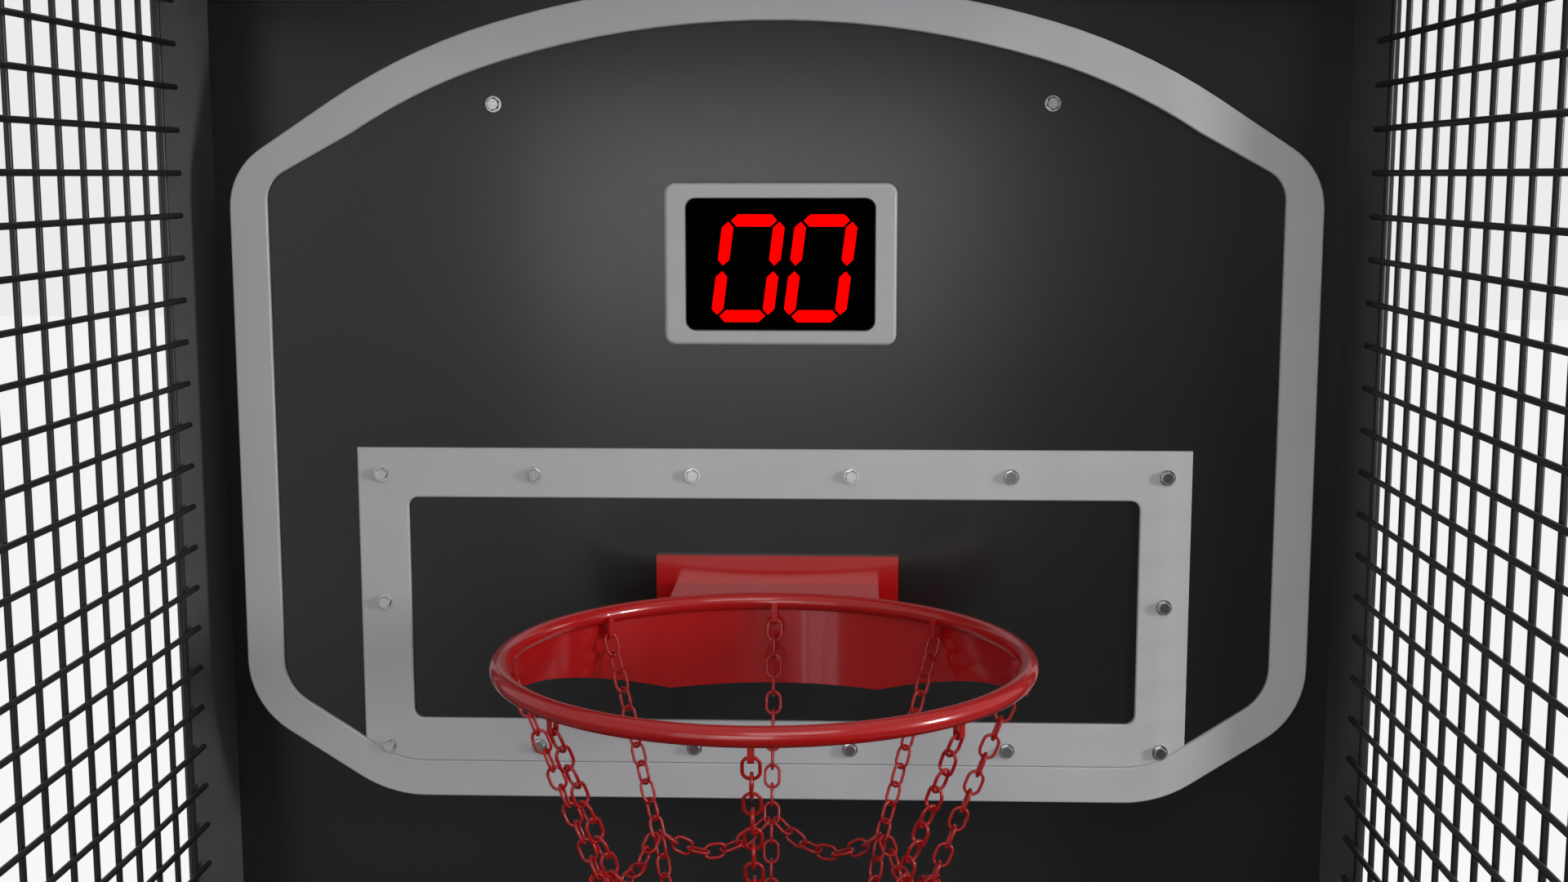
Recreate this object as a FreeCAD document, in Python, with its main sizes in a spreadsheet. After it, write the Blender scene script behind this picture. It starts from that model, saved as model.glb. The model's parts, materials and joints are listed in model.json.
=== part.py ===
import FreeCAD, Part
import math
import os
import re
from FreeCAD import Placement, Rotation, Vector

# Basketball hoop machine. X is the machine's width, +Y points to its rear, +Z is up.
# The origin is the centre of the footprint, on the floor. Lengths are in millimetres.

SIZES = [
    ("machineHalf", 1225, "half the overall depth"),
    ("rearFace", 1205, "outer face of the rear panels"),
    ("sideFront", -1190, "front edge of the lower side panels"),
    ("panelInner", 604, "inner face of the side panels, from the centre plane"),
    ("panelThick", 18, "thickness of the cabinet boards"),
    ("rearSheet", 3, "thickness of the sheet sides around the backboard"),
    ("sideLow", 100, "lower edge of the side panels"),
    ("sideTop", 1100, "upper edge of the lower side panels"),
    ("roofUnder", 2560, "underside of the rear roof panel"),
    ("baseTop", 138, "upper face of the base board"),
    ("frontFace", -1150, "outer face of the front panel"),
    ("frontTop", 860, "upper edge of the front panel"),
    ("railSize", 30, "square tube of the cage"),
    ("railWall", 2, "wall of the square tube"),
    ("railTop", 2508, "underside of the cage's top rails"),
    ("marqueeTall", 215, "height of the lit sign on the cage's front"),
    ("meshMid", 597.5, "where the two wire layers touch, from the centre plane"),
    ("meshWire", 6, "diameter of the mesh wire"),
    ("meshPitchZ", 42.5, "spacing of the level wires"),
    ("meshPitchY", 49.47, "spacing of the upright wires"),
    ("boardFront", 952, "front face of the board's raised border"),
    ("raised", 5, "how far the border and target frame stand out"),
    ("boardThick", 18, "thickness of the backboard"),
    ("wallFace", 1045, "inner face of the rear wall"),
    ("wallSeam", 2508, "height of the seam in the rear wall"),
    ("rimHeight", 1900, "height of the rim's plane"),
    ("hoopX", 5.5, "hoop and bracket to the right of the centre plane"),
    ("rimSetback", 294.5, "rim centre to the border's front face"),
    ("rimRadius", 234.4, "radius of the rim's centreline"),
    ("rimRod", 8.65, "radius of the rim's rod"),
    ("outerHalf", 558, "half the width of the board"),
    ("borderBand", 38.5, "width of the raised border"),
    ("cornerX", 408.4, "where the lower edge turns up into the cut corners"),
    ("archJoin", 282.7, "where the arched top's middle arc ends"),
    ("displayWide", 236, "width of the display housing"),
    ("displayTall", 164, "height of the display housing"),
    ("displayRise", 338.5, "display centre above the rim's plane"),
    ("displayX", 9.5, "display to the right of the centre plane"),
    ("digitsX", 14, "middle of the two digits, right of the centre plane"),
    ("windowWide", 193.5, "width of the display window"),
    ("windowTall", 135, "height of the display window"),
    ("plateWide", 252.7, "width of the hoop bracket's plate"),
    ("armWide", 211, "width of the hoop bracket's arm"),
    ("loopRear", 9, "strap loops inside the rim's centreline, over the apron"),
    ("loopFront", 2, "strap loops inside the rim's centreline, at the front"),
    ("loopDrop", 22, "how far the strap loops reach below the rim's plane"),
    ("loopWide", 5.5, "width of the strap loops"),
    ("loopHalf", 4.1, "half the depth of a strap loop, along the rim's radius"),
    ("strapThick", 1.6, "thickness of the loops' strap"),
    ("jointRadius", 154.5, "radius of the net's upper ring of joint links"),
    ("jointDrop", 196.4, "upper joint links below the rim's plane"),
    ("strandLean", 12.5, "lean of the lower strands, in degrees"),
    ("chainWire", 3, "diameter of the chain wire"),
    ("chainPitch", 18.5, "pitch of the links in the lower strands"),
    ("swagPitch", 17.4, "pitch of the links in the slack swags"),
    ("hookTurn", 65, "where swags hook round a joint link's bend, in degrees from its foot"),
    ("hookSlack", 0.6, "how much closer a hooked link sits than the next link in a strand"),
    ("linkLong", 25, "outer length of a chain link"),
    ("linkWide", 17, "outer width of a chain link"),
    ("gateY", -700, "ball gate hinge line, along Y"),
    ("gateZ", 1040, "height of the ball gate's hinge line"),
    ("gateShaft", 8, "radius of the ball gate's shaft"),
    ("doorHalf", 147, "half the width of the coin door and drawer face"),
    ("doorLow", 363, "lower edge of the coin door"),
    ("doorTop", 637, "upper edge of the coin door"),
    ("drawerLow", 213, "lower edge of the drawer face"),
    ("drawerTop", 337, "upper edge of the drawer face"),
    ("wheelRadius", 50, "radius of a caster wheel"),
    ("wheelWide", 28, "width of a caster wheel"),
    ("casterTrail", 28, "caster axle behind its swivel axis"),
    ("casterX", 520, "swivel axes, from the centre plane"),
    ("casterFront", -1050, "front swivel axes"),
    ("casterRear", 1080, "rear swivel axes"),
    ("running", 0.05, "running clearance on a radius"),
    ("gap", 0.4, "clearance between separate moving bodies"),
]

doc = FreeCAD.newDocument("HoopMachine")
sheet = doc.addObject("Spreadsheet::Sheet", "Dims")
for row, (alias, value, note) in enumerate(SIZES, start=1):
    sheet.set(f"A{row}", alias)
    sheet.set(f"B{row}", str(value))
    sheet.setAlias(f"B{row}", alias)
    sheet.set(f"C{row}", note)
doc.recompute()

NAMES = {alias for alias, value, note in SIZES}
parts = {}


def size(alias):
    return float(getattr(sheet, alias))


def bind(thing, prop, rule):
    def worded(found):
        word = found.group()
        return "Dims." + word if word in NAMES else word

    thing.setExpression(prop, re.sub(r"[A-Za-z_]\w*", worded, rule))


def keep(thing, label):
    thing.Label = label
    parts[label] = thing
    return thing


def box(name, low, span):
    """A box whose low corner and spans are rules in the sheet's words."""
    thing = doc.addObject("Part::Box", name)
    for prop, rule in zip(("Length", "Width", "Height"), span):
        bind(thing, prop, str(rule))
    for axis, rule in zip("xyz", low):
        bind(thing, f"Placement.Base.{axis}", str(rule))
    return thing


def rod(name, foot, direction, radius, length):
    """A cylinder from foot along direction, its sizes bound to the sheet."""
    thing = doc.addObject("Part::Cylinder", name)
    thing.Placement.Rotation = Rotation(Vector(0, 0, 1), Vector(*direction))
    bind(thing, "Radius", str(radius))
    bind(thing, "Height", str(length))
    for axis, rule in zip("xyz", foot):
        bind(thing, f"Placement.Base.{axis}", str(rule))
    return thing


def fuse(name, things):
    joined = doc.addObject("Part::MultiFuse", name)
    joined.Shapes = things
    joined.Refine = True
    return joined


def cut(name, base, tools):
    tool = tools[0] if len(tools) == 1 else fuse(name + "_tools", tools)
    result = doc.addObject("Part::Cut", name)
    result.Base = base
    result.Tool = tool
    result.Refine = True
    return result


def solids(name, shapes):
    """A piece made of separate solids, such as wires or links."""
    thing = doc.addObject("Part::Feature", name)
    thing.Shape = Part.makeCompound(shapes)
    return keep(thing, name)


def plane_of(body, role):
    return next(f for f in body.Origin.OriginFeatures if f.Role == role)


def sketch_on(body, role, wires):
    """A sketch on one of the body's own planes, holding closed outlines."""
    sketch = body.newObject("Sketcher::SketchObject", body.Name + "_outline")
    sketch.AttachmentSupport = [(plane_of(body, role), "")]
    sketch.MapMode = "FlatFace"
    for edges in wires:
        for edge in edges:
            sketch.addGeometry(edge, False)
    return sketch


def line(a, b):
    return Part.LineSegment(Vector(a[0], a[1], 0), Vector(b[0], b[1], 0))


def polygon(points):
    return [line(a, b) for a, b in zip(points, points[1:] + points[:1])]


def rounded(corners):
    """Lines through corners, each corner (x, y, radius) rounded by a tangent arc."""
    ends = []
    count = len(corners)
    for i, (x, y, radius) in enumerate(corners):
        here = Vector(x, y, 0)
        before = (Vector(*corners[i - 1][:2], 0) - here).normalize()
        after = (Vector(*corners[(i + 1) % count][:2], 0) - here).normalize()
        half = before.getAngle(after) / 2
        reach = radius / math.tan(half)
        ends.append((here + before * reach, here + after * reach, here, radius, half, before, after))
    edges = []
    for i, (start, stop, here, radius, half, before, after) in enumerate(ends):
        previous = ends[i - 1][1]  # where the corner before this one ends
        if (start - previous).Length > 1e-6:
            edges.append(Part.LineSegment(previous, start))
        if radius > 0:
            centre = here + (before + after).normalize() * (radius / math.sin(half))
            middle = centre + (here - centre).normalize() * radius
            edges.append(Part.Arc(start, middle, stop))
    return edges


def pad_body(label, role, wires, length, low):
    """A padded outline; low is the rule for where the pad starts along the plane's normal."""
    body = doc.addObject("PartDesign::Body", label)
    sketch = sketch_on(body, role, wires)
    pad = body.newObject("PartDesign::Pad", label + "_pad")
    pad.Profile = sketch
    bind(pad, "Length", str(length))
    axis = {"XZ_Plane": "y", "YZ_Plane": "x"}[role]
    bind(body, f"Placement.Base.{axis}", str(low))
    if role == "XZ_Plane":
        pad.Reversed = True
    return body


def oblong(cx, cy, half_wide, half_tall, radius):
    """The corners of a rectangle about (cx, cy), for rounded()."""
    return [(cx - half_wide, cy - half_tall, radius), (cx + half_wide, cy - half_tall, radius),
            (cx + half_wide, cy + half_tall, radius), (cx - half_wide, cy + half_tall, radius)]


def soften(body, amount, kind):
    """Rounds or bevels the edges of the body's front face."""
    doc.recompute()
    last = body.Tip
    faces = [f"Face{i}" for i, face in enumerate(last.Shape.Faces, start=1)
             if face.normalAt(0, 0).y < -0.99 and face.Area > 100]
    front = min(faces, key=lambda f: last.Shape.getElement(f).CenterOfMass.y)
    edge = body.newObject(f"PartDesign::{kind}", f"{body.Name}_edge")
    edge.Base = (last, [front])
    bind(edge, "Radius" if kind == "Fillet" else "Size", str(amount))
    body.Tip = edge
    return body


# ---------------------------------------------------------------- cabinet

def cabinet_boards():
    for side, low in (("left", "-panelInner - panelThick"), ("right", "panelInner")):
        depth = "rearFace - sideFront"
        keep(box(f"side_panel_{side}", (low, "sideFront", "sideLow"),
                 ("panelThick", depth, "sideTop - sideLow")), f"side_panel_{side}")
        front = "boardFront - 66.3"
        sheet_low = "-panelInner - rearSheet" if side == "left" else low
        keep(box(f"rear_side_{side}", (sheet_low, front, "sideTop"),
                 ("rearSheet", f"rearFace - ({front})", "roofUnder - sideTop")), f"rear_side_{side}")
    keep(box("roof_panel", ("-panelInner - panelThick", "boardFront - 66.3", "roofUnder"),
             ("2 * (panelInner + panelThick)", "rearFace - boardFront + 66.3", "panelThick")), "roof_panel")
    wall = box("wall_board", ("-panelInner", "wallFace", "700"),
               ("2 * panelInner", "panelThick", "roofUnder - 700"))
    seam = box("wall_groove", ("-panelInner - 1", "wallFace - 1", "wallSeam"),
               ("2 * panelInner + 2", "4", "2.5"))
    keep(cut("rear_wall", wall, [seam]), "rear_wall")


def base_board():
    board = box("base_blank", ("-panelInner", "frontFace", "baseTop - panelThick"),
                ("2 * panelInner", "rearFace - frontFace", "panelThick"))
    bores = []
    for side, sign in (("left", "-"), ("right", "")):
        for end, place in (("front", "casterFront"), ("rear", "casterRear")):
            bores.append(rod(f"king_bore_{end}_{side}", (f"{sign}casterX", place, "baseTop - panelThick - 1"),
                             (0, 0, 1), "8 + running", "panelThick + 2"))
    keep(cut("base_board", board, bores), "base_board")


def front_panel():
    board = box("front_blank", ("-panelInner", "frontFace", "baseTop"),
                ("2 * panelInner", "panelThick", "frontTop - baseTop"))
    hole = "2 * doorHalf + 6"
    door = box("door_hole", ("-doorHalf - 3", "frontFace - 1", "doorLow - 3"),
               (hole, "panelThick + 2", "doorTop - doorLow + 6"))
    drawer = box("drawer_hole", ("-doorHalf - 3", "frontFace - 1", "drawerLow - 3"),
                 (hole, "panelThick + 2", "drawerTop - drawerLow + 6"))
    keep(cut("front_panel", board, [door, drawer]), "front_panel")
    keep(box("front_lip", ("-panelInner", "frontFace - 6", "frontTop"),
             ("2 * panelInner", "panelThick + 12", "16")), "front_lip")


def tray_and_ramp():
    keep(box("tray_floor", ("-panelInner", "frontFace + panelThick", "700"),
             ("2 * panelInner", "-800 - frontFace - panelThick", "panelThick")), "tray_floor")
    rear = size("wallFace")
    profile = [(-800, 718), (-788, 718), (-788, 729.4), (rear, 948), (rear, 960), (-800, 740)]
    keep(pad_body("ball_ramp", "YZ_Plane", [polygon(profile)], "2 * panelInner", "-panelInner"), "ball_ramp")


def rear_panels():
    board = box("rear_low_blank", ("-panelInner", "rearFace - panelThick", "baseTop"),
                ("2 * panelInner", "panelThick", "sideTop - baseTop - 98"))
    inlet = box("inlet_hole", ("380", "rearFace - panelThick - 1", "240"), ("60", "panelThick + 2", "50"))
    vents = [box(f"vent_{i}", (f"{-260 + 40 * i}", "rearFace - panelThick - 1", "760"),
                 ("12", "panelThick + 2", "140")) for i in range(14)]
    keep(cut("rear_low_panel", board, [inlet] + vents), "rear_low_panel")


# ---------------------------------------------------------------- cage

def tube(name, low, span, axis):
    outer = box(name + "_outer", low, span)
    inner_low = [f"{rule} + railWall" if i != axis else f"{rule} - 1" for i, rule in enumerate(low)]
    inner_span = [f"{rule} - 2 * railWall" if i != axis else f"{rule} + 2" for i, rule in enumerate(span)]
    inner = box(name + "_inner", inner_low, inner_span)
    keep(cut(name, outer, [inner]), name)


def cage_tubes():
    back = "boardFront - 66.3"
    for side, low in (("left", "-panelInner - railSize"), ("right", "panelInner")):
        run = f"{back} - (sideFront + 5)"
        tube(f"cage_low_rail_{side}", (low, "sideFront + 5", "sideTop"), ("railSize", run, "railSize"), 1)
        tube(f"cage_top_rail_{side}", (low, "sideFront + 5", "railTop"), ("railSize", run, "railSize"), 1)
        tube(f"cage_post_{side}", (low, "sideFront + 5", "sideTop + railSize"),
             ("railSize", "railSize", "railTop - sideTop - railSize"), 2)


def wire(foot, direction, length):
    return Part.makeCylinder(size("meshWire") / 2, length, Vector(*foot), Vector(*direction))


def side_mesh(side, sign):
    half = size("meshWire") / 2
    back = size("boardFront") - 66.3
    front = size("sideFront") + 20
    low = size("sideTop") + 15
    high = size("railTop") + 15
    pitch_y = size("meshPitchY")
    pitch_z = size("meshPitchZ")
    inner = sign * (size("meshMid") - half)
    outer = sign * (size("meshMid") + half)
    level_rear = back + pitch_y / 2
    wires = []
    top_wire = size("rimHeight") + 430.3 + 4 * pitch_z
    level = top_wire
    while level > low + 5:
        wires.append(wire((inner, front, level), (0, 1, 0), level_rear - front))
        level -= pitch_z
    place = back
    while place > front + 10:
        wires.append(wire((outer, place, low), (0, 0, 1), high - low))
        place -= pitch_y
    solids(f"cage_mesh_{side}", wires)


def top_mesh():
    half = size("meshWire") / 2
    front = size("sideFront") + 20
    back = size("boardFront") - 66.3
    top = size("railTop") + size("railSize")
    reach = size("panelInner") + 15
    pitch = size("meshPitchY")
    wires = []
    count = int(reach // pitch)
    for i in range(-count, count + 1):
        wires.append(wire((i * pitch, front, top + 3 * half), (0, 1, 0), back - front))
    place = back - pitch / 2
    while place > front:
        wires.append(wire((-reach, place, top + half), (1, 0, 0), 2 * reach))
        place -= pitch
    solids("cage_mesh_top", wires)


def marquee():
    """The lit sign that stands on the cage's front and ties its top rails together."""
    half, low, tall = "(panelInner + railSize)", "railTop", "marqueeTall"
    deep = "sideFront + 5 + machineHalf"
    outer = box("marquee_outer", (f"-{half}", "-machineHalf", low), (f"2 * {half}", deep, tall))
    inner = box("marquee_inner", (f"12 - {half}", "-machineHalf - 1", f"{low} + 12"),
                (f"2 * {half} - 24", f"{deep} - 5", f"{tall} - 24"))
    keep(cut("marquee_box", outer, [inner]), "marquee_box")
    keep(box("marquee_panel", (f"12 - {half}", "-machineHalf + 3", f"{low} + 12"),
             (f"2 * {half} - 24", "4", f"{tall} - 24")), "marquee_panel")


# ---------------------------------------------------------------- board

def board_corners(inset):
    """Half width, lower edge, and how far an inset moves the two bends of a cut lower corner."""
    half = size("outerHalf") - inset
    low = size("rimHeight") - 229.5 + inset
    slope = math.radians(33)
    lift = inset * math.tan(slope / 2)
    push = inset * math.tan((math.pi / 2 - slope) / 2)
    return half, low, lift, push


def board_outline(inset):
    """The board's outline moved inwards by inset: straight sides, cut lower corners, an arched top."""
    rim_z = size("rimHeight")
    half, low, lift, push = board_corners(inset)
    side_low = rim_z - 132 + push
    side_high = rim_z + 433 - inset * 0.29
    flat = size("cornerX") - lift
    slope = math.radians(33.2)
    knee = Vector(451.8 - inset * math.sin(slope), rim_z + 502.7 - inset * math.cos(slope), 0)
    shoulder = arch_point(size("archJoin"), inset)
    crown = arch_point(0, inset)
    bulge = arch_point(372, inset)
    straight = rounded([(-half, side_high, 72 - inset), (-half, side_low, 92 - inset),
                        (-flat, low, 129 - inset), (flat, low, 129 - inset),
                        (half, side_low, 92 - inset), (half, side_high, 72 - inset),
                        (knee.x, knee.y, 0), (-knee.x, knee.y, 0)])
    edges = [edge for edge in straight if not is_chord(edge, knee)]
    edges.append(Part.Arc(knee, bulge, shoulder))
    edges.append(Part.Arc(shoulder, crown, mirrored(shoulder)))
    edges.append(Part.Arc(mirrored(shoulder), mirrored(bulge), mirrored(knee)))
    return edges


def mirrored(point):
    return Vector(-point.x, point.y, 0)


def is_chord(edge, knee):
    return abs(edge.StartPoint.y - knee.y) < 1e-6 and abs(edge.EndPoint.y - knee.y) < 1e-6


def arch_point(x, inset):
    """A point of the arched top: one wide arc in the middle and a tighter one on each shoulder."""
    wide, tight = 1007, 633
    join = math.asin(size("archJoin") / wide)
    centre = size("rimHeight") + 621.1 - wide
    if x <= size("archJoin"):
        angle = math.asin(x / wide)
        return Vector((wide - inset) * math.sin(angle), centre + (wide - inset) * math.cos(angle), 0)
    cx = (wide - tight) * math.sin(join)
    cz = centre + (wide - tight) * math.cos(join)
    angle = math.asin((x - cx) / tight)
    return Vector(cx + (tight - inset) * math.sin(angle), cz + (tight - inset) * math.cos(angle), 0)


def backboard():
    outer, inner = board_outline(0), board_outline(size("borderBand"))
    keep(pad_body("backboard", "XZ_Plane", [outer], "boardThick", "boardFront + raised"), "backboard")
    trim = pad_body("border_trim", "XZ_Plane", [outer, inner], "raised", "boardFront")
    keep(soften(trim, 1.2, "Chamfer"), "border_trim")


def target_frame():
    """A rectangular frame whose lower side rests in the border's cut lower corners."""
    rim_z = size("rimHeight")
    fit = size("borderBand") + 0.3
    low, lift = board_corners(fit)[1:3]
    flat = size("cornerX") - lift
    outer, top = 433.9, rim_z + 146.6
    foot = low + (outer - flat) * math.tan(math.radians(33))
    outline = rounded([(-outer, top, 0), (-outer, foot, 0), (-flat, low, 129 - fit), (flat, low, 129 - fit),
                       (outer, foot, 0), (outer, top, 0)])
    window = rounded(oblong(0, rim_z - 24.85, 381.2, 119.25, 10))
    frame = pad_body("target_frame", "XZ_Plane", [outline, window], "raised", "boardFront")
    keep(soften(frame, 1.2, "Chamfer"), "target_frame")


def hex_bolt(x, z):
    """A hexagon head on a round washer, facing the front."""
    face = size("boardFront")
    if z > size("rimHeight") + 200:
        face += size("raised")
    washer = Part.makeCylinder(8, 1.6, Vector(x, face, z), Vector(0, -1, 0))
    turns = [math.radians(60 * i + 8) for i in range(7)]
    ring = [Vector(x + 7 * math.sin(turn), face - 1.6, z + 7 * math.cos(turn)) for turn in turns]
    head = Part.Face(Part.makePolygon(ring)).extrude(Vector(0, -5, 0))
    crown = Part.makeCone(7.6, 5.2, 5.2, Vector(x, face - 1.6, z), Vector(0, -1, 0))
    return washer.fuse(head.common(crown))


def board_bolts():
    rim_z = size("rimHeight")
    edge = size("cornerX")
    places = [(283.5, 499.8), (edge, -17.4)]
    for x in (82.5, 247.8, edge):
        places += [(x, 119.2), (x, -173.4)]
    solids("board_bolts", [hex_bolt(sign * x, rim_z + rise) for x, rise in places for sign in (-1, 1)])


def board_standoffs():
    """Two upright channels that hold the board off the rear wall."""
    back = "boardFront + raised + boardThick"
    depth = f"wallFace - ({back})"
    rails = []
    for side, x in (("left", "-320"), ("right", "280")):
        outer = box(f"channel_{side}_outer", (x, back, "rimHeight - 190"), ("40", depth, "740"))
        inner = box(f"channel_{side}_inner", (f"{x} + 3", f"{back} + 3", "rimHeight - 191"),
                    ("34", f"{depth} - 6", "742"))
        rails.append(cut(f"channel_{side}", outer, [inner]))
    joined = doc.addObject("Part::Compound", "board_standoffs")
    joined.Links = rails
    keep(joined, "board_standoffs")


def display():
    """The score display: a moulded housing with a recessed window."""
    mid_x = size("displayX")
    mid_z = size("rimHeight") + size("displayRise")
    outline = rounded(oblong(mid_x, mid_z, size("displayWide") / 2, size("displayTall") / 2, 11))
    body = pad_body("display_housing", "XZ_Plane", [outline], "18 + raised", "boardFront - 18")
    soften(body, 4, "Fillet")
    half_wide, half_tall = size("windowWide") / 2, size("windowTall") / 2
    pocket = body.newObject("PartDesign::Pocket", "display_pocket")
    pocket.Profile = sketch_on(body, "XZ_Plane", [rounded(oblong(mid_x, mid_z, half_wide, half_tall, 11))])
    pocket.Length = 10
    pocket.Reversed = False
    keep(body, "display_housing")
    pane = rounded(oblong(mid_x, mid_z, half_wide - 1, half_tall - 1, 10))
    keep(pad_body("display_window", "XZ_Plane", [pane], "6", "boardFront - 14"), "display_window")


def segment(cx, cz, length, thick, upright, lean):
    """One bar of a digit, pointed at both ends and slanted."""
    a, b = length / 2, thick / 2
    points = [(-a, 0), (-a + b, b), (a - b, b), (a, 0), (a - b, -b), (-a + b, -b)]
    if upright:
        points = [(q, p) for p, q in points]
    front = size("boardFront") - 15
    base = size("rimHeight") + size("displayRise")
    mid = size("digitsX")
    ring = [Vector(mid + cx + p + (cz + q) * lean, front, base + cz + q) for p, q in points]
    return Part.Face(Part.makePolygon(ring + ring[:1])).extrude(Vector(0, 0.9, 0))


def digits():
    """The lit bars of two noughts, below the window's centre."""
    lean = math.tan(math.radians(7.3))
    bars = []
    for middle in (-36.8, 36.8):
        for level in (-52.4, 44.4):
            bars.append(segment(middle, level, 46.5, 12.2, False, lean))
        for offset in (-26, 26):
            for level in (-29, 21):
                bars.append(segment(middle + offset, level, 44, 11.5, True, lean))
    solids("display_digits", bars)


# ---------------------------------------------------------------- hoop

def hoop_centre():
    return Vector(size("hoopX"), size("boardFront") - size("rimSetback"), size("rimHeight"))


def hoop_bracket():
    """A folded plate on the board and the hollow arm that carries the rim."""
    plate = box("bracket_plate", ("hoopX - plateWide / 2", "boardFront + raised - 8", "rimHeight - 85"),
                ("plateWide", "8", "119.6"))
    reach = "rimSetback - 200 + raised - 8"
    start = "boardFront - rimSetback + 200"
    arm = box("bracket_arm", ("hoopX - armWide / 2", start, "rimHeight - 72"), ("armWide", reach, "77.7"))
    hollow = box("bracket_hollow", ("hoopX - armWide / 2 + 4", f"{start} - 1", "rimHeight - 73"),
                 ("armWide - 8", f"{reach} + 1", "74.7"))
    shell = cut("bracket_shell", arm, [hollow])
    ring_space = doc.addObject("Part::Torus", "bracket_rim_space")
    bind(ring_space, "Radius1", "rimRadius")
    bind(ring_space, "Radius2", "rimRod")
    for axis, rule in zip("xyz", ("hoopX", "boardFront - rimSetback", "rimHeight")):
        bind(ring_space, f"Placement.Base.{axis}", rule)
    apron_space = rod("bracket_apron_space", ("hoopX", "boardFront - rimSetback", "rimHeight - 90"),
                      (0, 0, 1), "rimRadius + 1.3", "110")
    whole = fuse("bracket_whole", [plate, shell])
    keep(cut("hoop_bracket", whole, [ring_space, apron_space]), "hoop_bracket")


def loop_inset(angle):
    """How far inside the rim's centreline a strap loop sits: further at the rear, to clear the apron."""
    return size("loopRear" if math.sin(angle) > -0.1 else "loopFront")


def strap_loop(angle):
    """A loop of strap welded to the rim that holds the first link of a strand."""
    wide, half, thick = size("loopWide"), size("loopHalf"), size("strapThick")
    inset = loop_inset(angle)
    bend = half - size("loopDrop")
    shapes = []
    for radius, top in ((half, 0), (half - thick, -6)):
        foot = Vector(0, -wide / 2, bend)
        legs = Part.makeBox(2 * radius, wide, top - bend, foot - Vector(radius, 0, 0))
        shapes.append(Part.makeCylinder(radius, wide, foot, Vector(0, 1, 0)).fuse(legs))
    bridge = Part.makeBox(half + inset, wide, 5, Vector(-half, -wide / 2, -5))
    loop = shapes[0].fuse(bridge).cut(shapes[1])
    outward = Vector(math.cos(angle), math.sin(angle), 0)
    spot = hoop_centre() + outward * (size("rimRadius") - inset)
    loop.Placement = Placement(spot, Rotation(Vector(0, 0, 1), math.degrees(angle))) * loop.Placement
    return loop


def rim():
    hoop = Part.makeTorus(size("rimRadius"), size("rimRod"), hoop_centre())
    thing = doc.addObject("Part::Feature", "rim")
    thing.Shape = hoop.fuse([strap_loop(math.radians(45 * i + 90)) for i in range(8)])
    keep(thing, "rim")


def apron():
    """The curved sheet under the rear half of the rim, with a lower edge that rises to the sides."""
    centre = hoop_centre()
    radius = size("rimRadius")
    foot = centre - Vector(0, 0, 90)
    wall = Part.makeCylinder(radius + 1.2, 90, foot).cut(Part.makeCylinder(radius - 1.2, 90, foot))
    edge = [(104, -84.6), (178.5, -59), (225, -42.5), (235.6, -30)]
    points = [(-x, z) for x, z in reversed(edge)] + edge + [(235.6, 0), (-235.6, 0)]
    ring = [centre + Vector(x, 1, z) for x, z in points]
    mask = Part.Face(Part.makePolygon(ring + ring[:1])).extrude(Vector(0, radius + 10, 0))
    skin = wall.common(mask).cut(Part.makeTorus(radius, size("rimRod") + 0.02, centre))
    thing = doc.addObject("Part::Feature", "apron")
    thing.Shape = max(skin.Solids, key=lambda solid: solid.Volume)
    keep(thing, "apron")


# ---------------------------------------------------------------- chain net

def link():
    """One chain link along X, standing in the XZ plane, centred on the origin."""
    wire_radius = size("chainWire") / 2
    bend = (size("linkWide") - size("chainWire")) / 2
    straight = size("linkLong") - size("linkWide")
    pieces = []
    for sign in (-1, 1):
        ring = Part.makeTorus(bend, wire_radius, Vector(sign * straight / 2, 0, 0), Vector(0, 1, 0))
        low = Vector(straight / 2, -5, -20) if sign > 0 else Vector(-straight / 2 - 20, -5, -20)
        pieces.append(ring.common(Part.makeBox(20, 10, 40, low)))
        foot = Vector(-straight / 2, 0, sign * bend)
        pieces.append(Part.makeCylinder(wire_radius, straight, foot, Vector(1, 0, 0)))
    return pieces[0].fuse(pieces[1:]).removeSplitter()


def reach_of_link():
    """From a link's middle to the middle of the wire at its end."""
    return (size("linkLong") - size("chainWire")) / 2


def placed_links(model, route, first_turn, outward):
    """Links with their middles at the points of route, turned a quarter from one to the next."""
    placed = []
    for i, (middle, along) in enumerate(route):
        side = along.cross(outward).normalize()
        up = side.cross(along).normalize()
        spin = Rotation(Vector(1, 0, 0), 90 * ((i + first_turn) % 2))
        copy = model.copy()
        copy.Placement = Placement(middle, Rotation(along, side, up, "XYZ") * spin)
        placed.append(copy)
    return placed


def strand_route(first, along, count, pitch):
    return [(first + along * (pitch * i), along) for i in range(count)]


def swag_route(start, end, count):
    """Link middles along a slack parabola whose end links hook round the wires at start and end."""
    pitch = size("swagPitch")
    grip = size("chainPitch") - reach_of_link() - size("hookSlack")
    span = end - start
    wanted = 2 * grip + (count - 1) * pitch
    steps = 400

    def curve(sag):
        fractions = [i / steps for i in range(steps + 1)]
        return [start + span * t - Vector(0, 0, 4 * sag * t * (1 - t)) for t in fractions]

    def length(points):
        return sum((b - a).Length for a, b in zip(points, points[1:]))

    low, high = 0.0, span.Length
    for _ in range(40):
        sag = (low + high) / 2
        low, high = (sag, high) if length(curve(sag)) < wanted else (low, sag)
    route, walked, target = [], 0.0, grip
    points = curve(sag)
    for a, b in zip(points, points[1:]):
        walked += (b - a).Length
        if walked >= target and len(route) < count:
            route.append((b, (b - a).normalize()))
            target += pitch
    return route


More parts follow.
